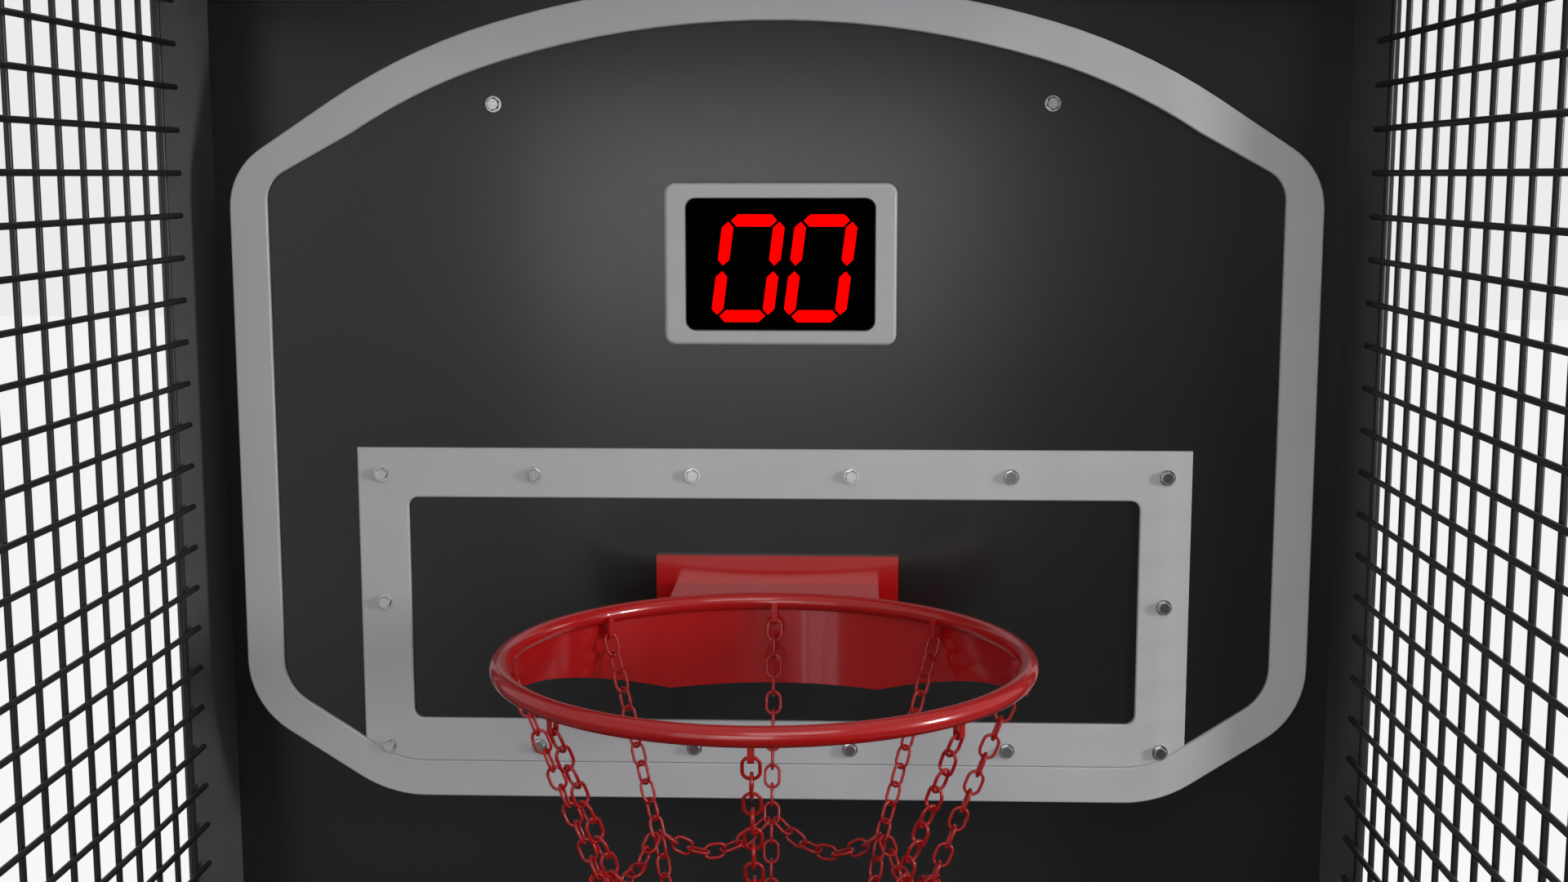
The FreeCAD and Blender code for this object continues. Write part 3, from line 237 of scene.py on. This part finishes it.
finishes = {
    "panelBlack": {"colour": (0.036, 0.036, 0.038), "roughness": 0.36, "spread": 0.05, "mottle": 0.06,
        "relief": (520, 60, 0.6), "bump": 0.03, "dust": 0.1, "scuff": 0.1,
        "scuffColour": (0.1, 0.1, 0.1)},
    # rear wall: the black paint is real; its extra darkness against the panel black is painted shade for the
    # dimly lit wall
    "wallBlackPaintedShade": {"colour": (0.017, 0.017, 0.0176), "roughness": 0.3, "spread": 0.04, "mottle": 0.05,
        "relief": (520, 60, 0.6), "bump": 0.02, "dust": 0.05, "scuff": 0.05,
        "scuffColour": (0.03, 0.03, 0.03)},
    # rear side sheets: the panel black outside; the lighter grey on the faces turned inwards is painted
    # light standing in for the light that falls on them
    "wingBlackPaintedLight": {"colour": (0.036, 0.036, 0.038), "inner": (0.14, 0.14, 0.144), "roughness": 0.4,
        "spread": 0.05, "mottle": 0.06, "relief": (520, 60, 0.6), "bump": 0.03, "dust": 0.05,
        "scuff": 0.1, "scuffColour": (0.12, 0.12, 0.12)},
    "boardBlack": {"colour": (0.012, 0.012, 0.0125), "roughness": 0.21, "spread": 0.03, "mottle": 0.03,
        "relief": (700, 25, 0.35), "bump": 0.012, "dust": 0.05, "scuff": 0.05,
        "scuffColour": (0.03, 0.03, 0.03)},
    "rampBlack": {"colour": (0.045, 0.045, 0.047), "roughness": 0.55, "spread": 0.1, "mottle": 0.12,
        "relief": (420, 80, 0.7), "bump": 0.08, "dust": 0.16, "scuff": 0.5,
        "scuffColour": (0.12, 0.12, 0.12)},
    "trimGrey": {"colour": (0.56, 0.56, 0.583), "roughness": 0.42, "spread": 0.05, "mottle": 0.035,
        "relief": (650, 40, 0.5), "bump": 0.02, "dust": 0.05, "scuff": 0.05,
        "scuffColour": (0.33, 0.33, 0.34)},
    "housingGrey": {"colour": (0.49, 0.49, 0.511), "roughness": 0.36, "spread": 0.04, "mottle": 0.03,
        "relief": (900, 60, 0.6), "bump": 0.025, "dust": 0.04, "scuff": 0.0,
        "scuffColour": (0.3, 0.3, 0.3)},
    "windowBlack": {"colour": (0.0002, 0.0001, 0.0001), "roughness": 0.6, "spread": 0.02,
        "mottle": 0.05, "relief": (500, 30, 0.5), "bump": 0.004, "dust": 0.0, "scuff": 0.0,
        "scuffColour": (0, 0, 0), "specular": 0.004},
    "redPaint": {"colour": (0.46, 0.0048, 0.0052), "roughness": 0.22, "spread": 0.05, "mottle": 0.05,
        "relief": (380, 70, 0.3), "bump": 0.02, "dust": 0.03, "scuff": 0.08,
        "scuffColour": (0.2, 0.01, 0.01), "coat": 0.6},
    "redChain": {"colour": (0.42, 0.005, 0.0054), "roughness": 0.28, "spread": 0.08, "mottle": 0.1,
        "relief": (900, 200, 0.5), "bump": 0.05, "dust": 0.02, "scuff": 0.25,
        "scuffColour": (0.16, 0.02, 0.02), "coat": 0.2},
    "meshBlack": {"colour": (0.0115, 0.0115, 0.012), "roughness": 0.38, "spread": 0.08, "mottle": 0.12,
        "relief": (1100, 240, 0.6), "bump": 0.05, "dust": 0.05, "scuff": 0.1,
        "scuffColour": (0.06, 0.06, 0.06)},
    "tubeBlack": {"colour": (0.018, 0.018, 0.019), "roughness": 0.36, "spread": 0.06, "mottle": 0.08,
        "relief": (800, 120, 0.6), "bump": 0.05, "dust": 0.08, "scuff": 0.2,
        "scuffColour": (0.09, 0.09, 0.09)},
    "zincSteel": {"colour": (0.58, 0.58, 0.59), "roughness": 0.13, "spread": 0.08, "mottle": 0.1,
        "relief": (600, 160, 0.5), "bump": 0.03, "dust": 0.0, "scuff": 0.2,
        "scuffColour": (0.35, 0.35, 0.35), "metal": 1.0},
    "plainSteel": {"colour": (0.5, 0.5, 0.51), "roughness": 0.34, "spread": 0.12, "mottle": 0.15,
        "relief": (500, 110, 0.5), "bump": 0.05, "dust": 0.05, "scuff": 0.3,
        "scuffColour": (0.3, 0.29, 0.28), "metal": 1.0},
    "lipRubber": {"colour": (0.02, 0.02, 0.02), "roughness": 0.62, "spread": 0.1, "mottle": 0.12,
        "relief": (260, 60, 0.7), "bump": 0.12, "dust": 0.15, "scuff": 0.1,
        "scuffColour": (0.06, 0.06, 0.06)},
    "wheelRubber": {"colour": (0.1, 0.1, 0.105), "roughness": 0.58, "spread": 0.12, "mottle": 0.15,
        "relief": (300, 90, 0.6), "bump": 0.1, "dust": 0.2, "scuff": 0.3,
        "scuffColour": (0.2, 0.19, 0.18)},
    "headerWhite": {"colour": (0.8, 0.8, 0.78), "roughness": 0.3, "spread": 0.04, "mottle": 0.02,
        "relief": (500, 40, 0.4), "bump": 0.01, "dust": 0.05, "scuff": 0.0,
        "scuffColour": (0.7, 0.7, 0.7)},
    "buttonRed": {"colour": (0.6, 0.012, 0.012), "roughness": 0.18, "spread": 0.04, "mottle": 0.05,
        "relief": (500, 60, 0.4), "bump": 0.01, "dust": 0.04, "scuff": 0.2,
        "scuffColour": (0.4, 0.05, 0.05), "coat": 0.3},
    "buttonYellow": {"colour": (0.8, 0.42, 0.02), "roughness": 0.18, "spread": 0.04, "mottle": 0.05,
        "relief": (500, 60, 0.4), "bump": 0.01, "dust": 0.04, "scuff": 0.2,
        "scuffColour": (0.5, 0.3, 0.05), "coat": 0.3},
    "doorBlack": {"colour": (0.028, 0.028, 0.03), "roughness": 0.48, "spread": 0.08, "mottle": 0.1,
        "relief": (360, 180, 0.8), "bump": 0.22, "dust": 0.06, "scuff": 0.3,
        "scuffColour": (0.12, 0.12, 0.12)},
    "caseGrey": {"colour": (0.3, 0.31, 0.32), "roughness": 0.42, "spread": 0.08, "mottle": 0.06,
        "relief": (500, 90, 0.5), "bump": 0.04, "dust": 0.15, "scuff": 0.1,
        "scuffColour": (0.2, 0.2, 0.2), "metal": 0.6},
    "mouldedBlack": {"colour": (0.022, 0.022, 0.023), "roughness": 0.42, "spread": 0.06, "mottle": 0.08,
        "relief": (700, 160, 0.7), "bump": 0.08, "dust": 0.06, "scuff": 0.05,
        "scuffColour": (0.07, 0.07, 0.07)},
    "rockerBlack": {"colour": (0.015, 0.015, 0.015), "roughness": 0.2, "spread": 0.04, "mottle": 0.05,
        "relief": (700, 160, 0.4), "bump": 0.01, "dust": 0.05, "scuff": 0.1,
        "scuffColour": (0.05, 0.05, 0.05)},
}


def placeGroup(tree, name, links=None, **values):
    made = node(tree, "ShaderNodeGroup", node_tree=groups[name])
    for key, value in values.items():
        socket = made.inputs[key.capitalize()]
        if isinstance(value, (tuple, float, int)):
            socket.default_value = value
        else:
            tree.links.new(value, socket)
    return made


def makeFinish(name, facts):
    material = bpy.data.materials.new(name)
    material.use_nodes = True
    tree = material.node_tree
    shader = tree.nodes["Principled BSDF"]
    colour = tuple(facts["colour"]) + (1.0,)
    tone = placeGroup(tree, "mottle", colour=colour, amount=facts["mottle"], scale=surface["mottleScale"],
                      roughness=facts["roughness"], spread=facts["spread"])
    marks = placeGroup(tree, "scuff", scale=surface["scratchScale"], amount=facts["scuff"])
    scuffColour = tuple(facts["scuffColour"]) + (1.0,)
    scuffsAndPaintedLight = mixColour(tree, marks.outputs["Mask"], tone.outputs["Colour"], scuffColour)
    # faces turned inwards get a lighter grey: painted light on the rear side sheets
    if "inner" in facts:
        paintedLightMask = placeGroup(tree, "inner")
        scuffsAndPaintedLight = mixColour(tree, paintedLightMask.outputs["Mask"], scuffsAndPaintedLight, tuple(facts["inner"]) + (1.0,))
    film = placeGroup(tree, "dust", colour=scuffsAndPaintedLight, roughness=tone.outputs["Roughness"], amount=facts["dust"])
    tree.links.new(film.outputs["Colour"], shader.inputs["Base Color"])
    tree.links.new(film.outputs["Roughness"], shader.inputs["Roughness"])
    fine, coarse, share = facts["relief"]
    relief = placeGroup(tree, "relief", scale=float(fine), coarse=float(coarse), mix=share)
    bump = node(tree, "ShaderNodeBump")
    bump.inputs["Strength"].default_value = 1.0
    bump.inputs["Distance"].default_value = facts["bump"] * surface["bumpDepth"]
    tree.links.new(relief.outputs["Height"], bump.inputs["Height"])
    tree.links.new(bump.outputs["Normal"], shader.inputs["Normal"])
    shader.inputs["Metallic"].default_value = facts.get("metal", 0.0)
    shader.inputs["Coat Weight"].default_value = facts.get("coat", 0.0)
    shader.inputs["Coat Roughness"].default_value = surface["coatRoughness"]
    shader.inputs["Specular IOR Level"].default_value = facts.get("specular", 0.5)
    return material


def makeLed():
    # lit bars: an almost even red
    material = bpy.data.materials.new("litRed")
    material.use_nodes = True
    tree = material.node_tree
    shader = tree.nodes["Principled BSDF"]
    cells = noiseNode(tree, lit["cellScale"], 2)
    level = mapRange(tree, cells.outputs["Fac"], 0.3, 0.7, lit["dimmest"], 1.0)
    glow = node(tree, "ShaderNodeCombineColor")
    tree.links.new(level, glow.inputs["Red"])
    tree.links.new(glow.outputs["Color"], shader.inputs["Emission Color"])
    tree.links.new(glow.outputs["Color"], shader.inputs["Base Color"])
    shader.inputs["Emission Strength"].default_value = lit["strength"]
    shader.inputs["Roughness"].default_value = lit["roughness"]
    shader.inputs["Specular IOR Level"].default_value = 0.0
    return material


materials = {name: makeFinish(name, facts) for name, facts in finishes.items()}
materials["litRed"] = makeLed()

slotFinish = {
    "panel_black": "panelBlack", "board_black": "boardBlack", "trim_grey": "trimGrey",
    "housing_grey": "housingGrey", "window_black": "windowBlack", "led_red": "litRed",
    "red_paint": "redPaint", "red_chain": "redChain", "mesh_black": "meshBlack", "tube_black": "tubeBlack",
    "bolt_steel": "zincSteel", "steel": "plainSteel", "ramp_black": "rampBlack", "lip_rubber": "lipRubber",
    "marquee_white": "headerWhite", "button_red": "buttonRed", "button_yellow": "buttonYellow",
    "door_black": "doorBlack", "electronics_grey": "caseGrey", "sensor_black": "mouldedBlack",
    "inlet_black": "mouldedBlack", "rocker_black": "rockerBlack", "wheel_grey": "wheelRubber"}

# the rear side sheets take the black whose inner faces carry a lighter grey as painted light
# the rear wall takes a darker black than the panels, its extra darkness painted shade
nodeFinish = {"rear_wall": "wallBlackPaintedShade", "rear_side_left": "wingBlackPaintedLight", "rear_side_right": "wingBlackPaintedLight"}

for part in frame["record"]["subparts"]:
    piece = frame["nodes"][part["node"]]
    finish = materials[nodeFinish.get(part["node"]) or slotFinish[part["material_slot"]]]
    if not piece.material_slots:
        piece.data.materials.append(finish)
    for holder in piece.material_slots:
        holder.material = finish
print("materials placed on the frame")


# mesh helpers

def meshPiece(name, body, build, finish):
    made = bmesh.new()
    build(made)
    data = bpy.data.meshes.new(name)
    made.to_mesh(data)
    made.free()
    piece = bpy.data.objects.new(name, data)
    scene.collection.objects.link(piece)
    data.materials.append(materials[finish])
    for face in data.polygons:
        face.use_smooth = True
    if body:  # a piece hung between two bodies is given none and rides on neither
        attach(piece, body)
    return piece


def sweepRing(made, points, radius, sides, flat):
    # a closed round wire through points that lie square to flat
    count = len(points)
    rings = []
    for i, here in enumerate(points):
        along = (points[(i + 1) % count] - points[i - 1]).normalized()
        side = along.cross(flat).normalized()
        up = side.cross(along)
        ring = []
        for k in range(sides):
            turn = 2 * math.pi * k / sides
            ring.append(made.verts.new(here + (side * math.cos(turn) + up * math.sin(turn)) * radius))
        rings.append(ring)
    for i, a in enumerate(rings):
        b = rings[(i + 1) % count]
        for k in range(sides):
            made.faces.new((a[k], a[(k + 1) % sides], b[(k + 1) % sides], b[k]))


def linkPoints():
    # the middle line of one chain link, long way along X
    bend = chain["wide"] / 2 - chain["wire"]
    half = (chain["long"] - chain["wide"]) / 2
    points = []
    steps = chain["bendSteps"]
    for sign in (1, -1):
        for k in range(steps + 1):
            turn = -math.pi / 2 + math.pi * k / steps
            points.append(Vector((sign * (half + bend * math.cos(turn)), 0, sign * bend * math.sin(turn))))
    return points


def addLink(made, middle, along, outward, turned, rng):
    side = along.cross(outward).normalized()
    up = side.cross(along).normalized()
    basis = Matrix((along, side, up)).transposed()
    loose = chain["looseTwist"]
    twist = Matrix.Rotation(math.radians(90 * turned + rng.uniform(-loose, loose)), 3, "X")
    points = [middle + basis @ (twist @ p) for p in linkPoints()]
    flat = basis @ (twist @ Vector((0, 1, 0)))
    sweepRing(made, points, chain["wire"], chain["sides"], flat)


def reachOfLink():
    return chain["long"] / 2 - chain["wire"]


def hookPoint(joint, down, sideways):
    # where a swag's end link hooks round the lower bend of a joint link
    bend = chain["wide"] / 2 - chain["wire"]
    straight = (chain["long"] - chain["wide"]) / 2
    turn = math.radians(chain["hookTurn"])
    return joint + down * (straight + bend * math.cos(turn)) + sideways * (bend * math.sin(turn))


def strandShape(angle):
    # first link, direction and pitch of the upper part, then of the lower part
    outward = Vector((math.cos(angle), math.sin(angle), 0))
    drop = Vector((0, 0, -1))
    inset = chain["rearInset" if math.sin(angle) > -0.1 else "frontInset"]
    hung = Vector(hoop["centre"]) + outward * (hoop["radius"] - inset) + drop * chain["seatDrop"]
    joint = Vector(hoop["centre"]) + outward * chain["jointRadius"] + drop * chain["jointDrop"]
    along = (joint - hung).normalized()
    reach = reachOfLink()
    pitch = ((joint - hung).length - reach) / (chain["upperLinks"] - 1)
    lean = math.radians(chain["lean"])
    down = drop * math.cos(lean) - outward * math.sin(lean)
    first = joint + along * reach + down * (chain["pitch"] - reach)
    last = first + down * (chain["pitch"] * (chain["lowerLinks"] - 1))
    return {"outward": outward, "top": hung + along * reach, "along": along, "pitch": pitch,
            "joint": joint, "first": first, "down": down, "last": last}


def addStrand(made, first, along, count, pitch, turned, outward, rng):
    for i in range(count):
        addLink(made, first + along * (pitch * i), along, outward, (i + turned) % 2, rng)


def addSwag(made, start, end, count, outward, rng):
    # a slack parabola whose end links hook round the wires at start and end
    grip = chain["pitch"] - reachOfLink() - chain["hookSlack"]
    wanted = 2 * grip + (count - 1) * chain["swagPitch"]
    steps = 400

    def curve(sag):
        places = [i / steps for i in range(steps + 1)]
        return [start.lerp(end, t) - Vector((0, 0, 4 * sag * t * (1 - t))) for t in places]

    low, high = 0.0, (end - start).length
    for _ in range(40):
        sag = (low + high) / 2
        points = curve(sag)
        run = sum((b - a).length for a, b in zip(points, points[1:]))
        low, high = (sag, high) if run < wanted else (low, sag)
    walked, target, placed = 0.0, grip, 0
    for a, b in zip(points, points[1:]):
        walked += (b - a).length
        if walked >= target and placed < count:
            addLink(made, b, (b - a).normalized(), outward, placed % 2, rng)
            placed += 1
            target += chain["swagPitch"]


def strandAngles():
    return [2 * math.pi * i / chain["strands"] + math.pi / 2 for i in range(chain["strands"])]


def buildUpperNet(made):
    rng = random.Random(chain["upperSeed"])
    for angle in strandAngles():
        shape = strandShape(angle)
        addStrand(made, shape["top"], shape["along"], chain["upperLinks"], shape["pitch"], 1,
                  shape["outward"], rng)


def buildLowerNet(made):
    rng = random.Random(chain["lowerSeed"])
    angles = strandAngles()
    shapes = [strandShape(angle) for angle in angles]
    for i, (angle, shape) in enumerate(zip(angles, shapes)):
        addStrand(made, shape["first"], shape["down"], chain["lowerLinks"], chain["pitch"], 0,
                  shape["outward"], rng)
        middle = angle + math.pi / chain["strands"]
        across = Vector((math.cos(middle), math.sin(middle), 0))
        swags = (("joint", "along", chain["swagLinks"]), ("last", "down", chain["lowSwagLinks"]))
        for joint, down, count in swags:
            ends = []
            for j, way in ((i, 1), ((i + 1) % len(angles), -1)):
                sideways = Vector((-math.sin(angles[j]), math.cos(angles[j]), 0)) * way
                ends.append(hookPoint(shapes[j][joint], shapes[j][down], sideways))
            addSwag(made, *ends, count, across, rng)


def buildNet():
    upper = meshPiece("chainUpper", None, buildUpperNet, "redChain")
    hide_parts("net_upper")
    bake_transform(upper)
    lower = meshPiece("chainLower", "net", buildLowerNet, "redChain")
    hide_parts("net_lower")


buildNet()
print("chain net built")


# floor, light and camera

lightSettings = {
    "fill": 0.5, "backdrop": 1.05, "floorSize": 60, "floorTone": 0.9, "floorLift": 0.45, "bounce": 0.2,
    "floorRoughness": 0.8,
    "areas": [
        ("frontBox", (-0.4, -4.0, 2.8), (-0.4, 0.95, 2.8), (1.8, 2.0), 27),
        ("lowBox", (-0.4, -4.0, 1.35), (-0.4, 0.95, 1.35), (1.8, 0.9), 3.5),
        ("leftBox", (-2.15, -4.0, 1.93), (-2.15, 0.95, 1.93), (1.7, 3.75), 24),
        ("keyRight", (3.0, -0.3, 2.4), (-0.6, 0.8, 2.0), (0.5, 0.7), 55),
        ("top", (0.7, -1.9, 4.2), (0.2, 0.95, 1.9), (2.0, 1.6), 28)]}


def addFloor():
    # pale to the eye, darker in reflections so that the board's lower half stays deep
    bpy.ops.mesh.primitive_plane_add(size=lightSettings["floorSize"], location=(0, 0, 0))
    floor = bpy.context.active_object
    floor.name = "floor"
    material = bpy.data.materials.new("paleFloor")
    material.use_nodes = True
    tree = material.node_tree
    shader = tree.nodes["Principled BSDF"]
    paths = node(tree, "ShaderNodeLightPath")
    seen = paths.outputs["Is Camera Ray"]
    tone = mapRange(tree, seen, 0.0, 1.0, lightSettings["bounce"], lightSettings["floorTone"])
    tree.links.new(tone, shader.inputs["Base Color"])
    lift = mapRange(tree, seen, 0.0, 1.0, 0.0, lightSettings["floorLift"])
    tree.links.new(lift, shader.inputs["Emission Strength"])
    shader.inputs["Emission Color"].default_value = (1, 1, 1, 1)
    shader.inputs["Roughness"].default_value = lightSettings["floorRoughness"]
    floor.data.materials.append(material)


def addArea(name, place, target, size, power):
    light = bpy.data.lights.new(name, "AREA")
    light.shape = "RECTANGLE"
    light.size, light.size_y = size
    light.energy = power
    lamp = bpy.data.objects.new(name, light)
    scene.collection.objects.link(lamp)
    lamp.location = place
    lamp.rotation_euler = (Vector(target) - Vector(place)).to_track_quat("-Z", "Y").to_euler()


def addWorld():
    # white behind the machine, a dimmer grey as fill light
    world = bpy.data.worlds.new("studio")
    scene.world = world
    world.use_nodes = True
    tree = world.node_tree
    fill = tree.nodes["Background"]
    fill.inputs["Color"].default_value = (1, 1, 1, 1)
    fill.inputs["Strength"].default_value = lightSettings["fill"]
    backdrop = node(tree, "ShaderNodeBackground")
    backdrop.inputs["Strength"].default_value = lightSettings["backdrop"]
    paths = node(tree, "ShaderNodeLightPath")
    mix = node(tree, "ShaderNodeMixShader")
    tree.links.new(paths.outputs["Is Camera Ray"], mix.inputs["Fac"])
    tree.links.new(fill.outputs["Background"], mix.inputs[1])
    tree.links.new(backdrop.outputs["Background"], mix.inputs[2])
    tree.links.new(mix.outputs["Shader"], tree.nodes["World Output"].inputs["Surface"])


def addCamera():
    data = bpy.data.cameras.new("camera")
    data.lens = cameraSettings["lens"]
    data.sensor_width = cameraSettings["sensor"]
    data.clip_start = cameraSettings["nearest"]
    camera = bpy.data.objects.new("camera", data)
    scene.collection.objects.link(camera)
    camera.location = cameraSettings["place"]
    pitch, turn = math.radians(cameraSettings["pitch"]), math.radians(cameraSettings["turn"])
    camera.rotation_euler = (pitch, 0, turn)
    scene.camera = camera


addFloor()
addWorld()
for name, place, target, size, power in lightSettings["areas"]:
    addArea(name, place, target, size, power)
addCamera()
scene.view_settings.view_transform = "Standard"
print("stage, light and camera set")
